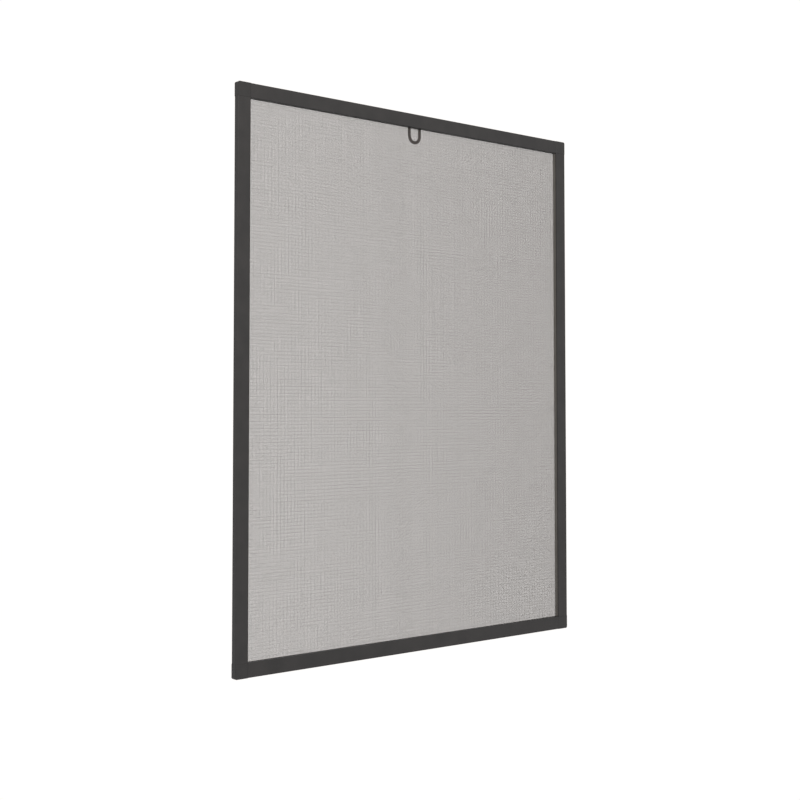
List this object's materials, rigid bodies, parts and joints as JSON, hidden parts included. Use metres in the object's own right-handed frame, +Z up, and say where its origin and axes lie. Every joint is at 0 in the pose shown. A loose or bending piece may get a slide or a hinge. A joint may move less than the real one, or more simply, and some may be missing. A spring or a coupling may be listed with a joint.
{
  "type": "window insect screen frame",
  "caption": "Slim dark framed insect screen that hooks into a window: hollow metal sides, moulded corners, fine mesh held by splines, brush seals, hooks and a pull loop at the top",
  "frame": {"origin": "the middle of the back plane of the frame, which lies against the window frame when the screen is hung", "axes": "+Z up, +X to the right as the front is seen, +Y from the front towards the window"},
  "size_m": [0.8, 0.0275, 1],
  "materials": {
    "frame_coat": "satin",
    "corner_plastic": "satin",
    "mesh_thread": "matte",
    "spline_rubber": "matte",
    "brush_pile": "matte",
    "tab_plastic": "satin",
    "hook_steel": "satin",
    "screw_steel": "satin"
  },
  "bodies": {
    "root": {"top_rail": "frame_coat", "bottom_rail": "frame_coat", "left_stile": "frame_coat", "right_stile": "frame_coat", "corner_connector_top_left": "corner_plastic", "corner_connector_top_right": "corner_plastic", "corner_connector_bottom_left": "corner_plastic", "corner_connector_bottom_right": "corner_plastic", "insect_mesh": "mesh_thread", "spline_top": "spline_rubber", "spline_bottom": "spline_rubber", "spline_left": "spline_rubber", "spline_right": "spline_rubber", "brush_seal_top": "brush_pile", "brush_seal_bottom": "brush_pile", "brush_seal_left": "brush_pile", "brush_seal_right": "brush_pile", "pull_tab": "tab_plastic", "hanging_hook_top_left": "hook_steel", "hanging_hook_top_right": "hook_steel", "hanging_hook_bottom_left": "hook_steel", "hanging_hook_bottom_right": "hook_steel", "hook_screws": "screw_steel"}
  },
  "joints": []
}
